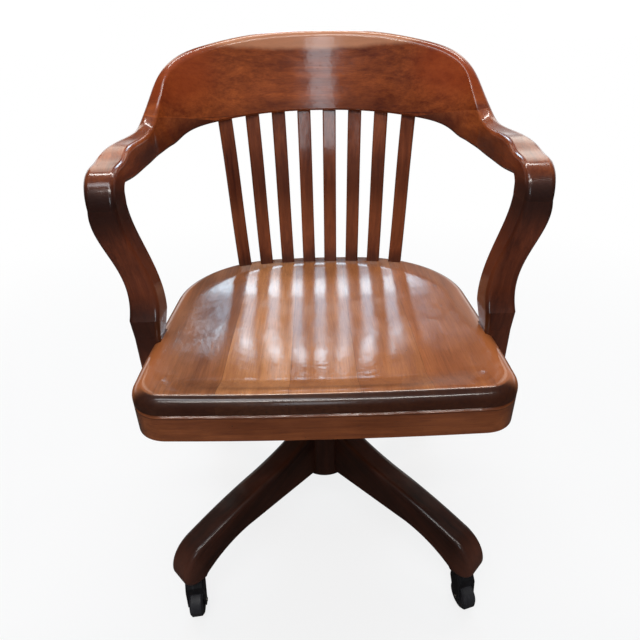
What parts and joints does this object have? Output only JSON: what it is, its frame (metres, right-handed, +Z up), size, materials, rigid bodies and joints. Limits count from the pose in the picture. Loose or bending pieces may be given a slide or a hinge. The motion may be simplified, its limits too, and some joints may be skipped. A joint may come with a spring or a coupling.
{
  "type": "bankers swivel chair",
  "caption": "Wooden swivel chair with a bow back of bent slats, saddle seat, tilting iron, height screw and splayed legs on casters.",
  "frame": {"origin": "on the floor under the swivel axis, at the middle of the chair's footprint", "axes": "+Z up along the swivel axis; a sitter faces -Y, so the seat front is towards -Y and the back towards +Y; +X is to the right as seen from the front, and node names use that left and right"},
  "size_m": [0.5806, 0.5143, 0.8397],
  "materials": {
    "seat_wood": "warm red-brown varnished wood, worn darker along the front roll",
    "skirt_wood": "mid-brown varnished wood",
    "back_wood": "glossy red-brown varnished wood",
    "post_wood": "dark red-brown varnished wood",
    "base_wood": "very dark brown varnished wood",
    "black_iron": "black painted castings",
    "worn_steel": "plain steel, slightly worn",
    "spring_steel": "dark oiled spring steel",
    "caster_metal": "black enamel on pressed steel",
    "caster_tread": "hard dark grey tread"
  },
  "bodies": {
    "base": {"hub": "base_wood", "hub_sleeve": "black_iron", "caster_sockets": "caster_metal", "front_left_leg": "base_wood", "front_right_leg": "base_wood", "rear_right_leg": "base_wood", "rear_left_leg": "base_wood"},
    "swivel": {"thrust_washer": "worn_steel"},
    "nut": {"height_wheel": "black_iron"},
    "spindle": {"spindle_yoke": "black_iron", "height_screw": "worn_steel", "pivot_pin": "worn_steel", "tilt_spring": "spring_steel"},
    "seat": {"crest_rail": "back_wood", "left_arm": "back_wood", "right_arm": "back_wood", "left_arm_post": "post_wood", "right_arm_post": "post_wood", "back_slat_1": "back_wood", "back_slat_2": "back_wood", "back_slat_3": "back_wood", "back_slat_4": "back_wood", "back_slat_5": "back_wood", "back_slat_6": "back_wood", "back_slat_7": "back_wood", "back_slat_8": "back_wood", "seat_board_1": "seat_wood", "seat_board_2": "seat_wood", "seat_board_3": "seat_wood", "seat_board_4": "seat_wood", "seat_board_5": "seat_wood", "skirt_front_rail": "skirt_wood", "skirt_left_rail": "skirt_wood", "skirt_right_rail": "skirt_wood", "skirt_rear_rail": "skirt_wood", "front_batten": "skirt_wood", "rear_batten": "skirt_wood", "seat_iron": "black_iron", "bolt_eye_pin": "worn_steel"},
    "tension_bolt": {"tension_bolt": "worn_steel", "spring_washer": "worn_steel"},
    "tension_knob": {"tension_knob": "black_iron"},
    "front_left_fork": {"front_left_caster_fork": "caster_metal", "front_left_caster_axle": "worn_steel"},
    "front_left_wheel": {"front_left_caster_wheel": "caster_tread"},
    "front_right_fork": {"front_right_caster_fork": "caster_metal", "front_right_caster_axle": "worn_steel"},
    "front_right_wheel": {"front_right_caster_wheel": "caster_tread"},
    "rear_right_fork": {"rear_right_caster_fork": "caster_metal", "rear_right_caster_axle": "worn_steel"},
    "rear_right_wheel": {"rear_right_caster_wheel": "caster_tread"},
    "rear_left_fork": {"rear_left_caster_fork": "caster_metal", "rear_left_caster_axle": "worn_steel"},
    "rear_left_wheel": {"rear_left_caster_wheel": "caster_tread"}
  },
  "joints": [
    {"name": "seat_swivel", "type": "hinge", "parent": "base", "child": "swivel", "pos_m": [0, 0, 0.228], "axis": [0, 0, 1], "continuous": true},
    {"name": "nut_turn", "type": "hinge", "parent": "swivel", "child": "nut", "pos_m": [0, 0, 0.231], "axis": [0, 0, 1], "range_deg": [-1700, 3400]},
    {"name": "seat_height", "type": "slide", "parent": "swivel", "child": "spindle", "axis": [0, 0, 1], "range_m": [-0.03, 0.06]},
    {"name": "seat_tilt", "type": "hinge", "parent": "spindle", "child": "seat", "pos_m": [0, 0, 0.378], "axis": [-1, 0, 0], "range_deg": [0, 16], "stiffness_Nm_per_rad": 60, "springref_deg": -20.05, "deforming": ["tilt_spring"]},
    {"name": "bolt_swing", "type": "hinge", "parent": "seat", "child": "tension_bolt", "pos_m": [0, -0.078, 0.378], "axis": [1, 0, 0], "range_deg": [0, 16]},
    {"name": "knob_turn", "type": "hinge", "parent": "tension_bolt", "child": "tension_knob", "pos_m": [0, -0.078, 0.273], "axis": [0, 0, 1], "continuous": true},
    {"name": "front_left_caster_swivel", "type": "hinge", "parent": "base", "child": "front_left_fork", "pos_m": [-0.21638, -0.21638, 0.072], "axis": [0, 0, 1], "continuous": true},
    {"name": "front_left_wheel_spin", "type": "hinge", "parent": "front_left_fork", "child": "front_left_wheel", "pos_m": [-0.21479, -0.22928, 0.0225], "axis": [-0.9925, -0.1219, 0], "continuous": true},
    {"name": "front_right_caster_swivel", "type": "hinge", "parent": "base", "child": "front_right_fork", "pos_m": [0.21638, -0.21638, 0.072], "axis": [0, 0, 1], "continuous": true},
    {"name": "front_right_wheel_spin", "type": "hinge", "parent": "front_right_fork", "child": "front_right_wheel", "pos_m": [0.21996, -0.22887, 0.0225], "axis": [-0.9613, -0.2756, 0], "continuous": true},
    {"name": "rear_right_caster_swivel", "type": "hinge", "parent": "base", "child": "rear_right_fork", "pos_m": [0.21638, 0.21638, 0.072], "axis": [0, 0, 1], "continuous": true},
    {"name": "rear_right_wheel_spin", "type": "hinge", "parent": "rear_right_fork", "child": "rear_right_wheel", "pos_m": [0.22082, 0.22859, 0.0225], "axis": [0.9397, -0.342, 0], "continuous": true},
    {"name": "rear_left_caster_swivel", "type": "hinge", "parent": "base", "child": "rear_left_fork", "pos_m": [-0.21638, 0.21638, 0.072], "axis": [0, 0, 1], "continuous": true},
    {"name": "rear_left_wheel_spin", "type": "hinge", "parent": "rear_left_fork", "child": "rear_left_wheel", "pos_m": [-0.22383, 0.22702, 0.0225], "axis": [0.8192, 0.5736, 0], "continuous": true}
  ],
  "couplings": [
    {"joint": "seat_height", "follows": "nut_turn", "m_per_rad": 0.0010106},
    {"joint": "bolt_swing", "follows": "seat_tilt", "ratio": 1}
  ]
}
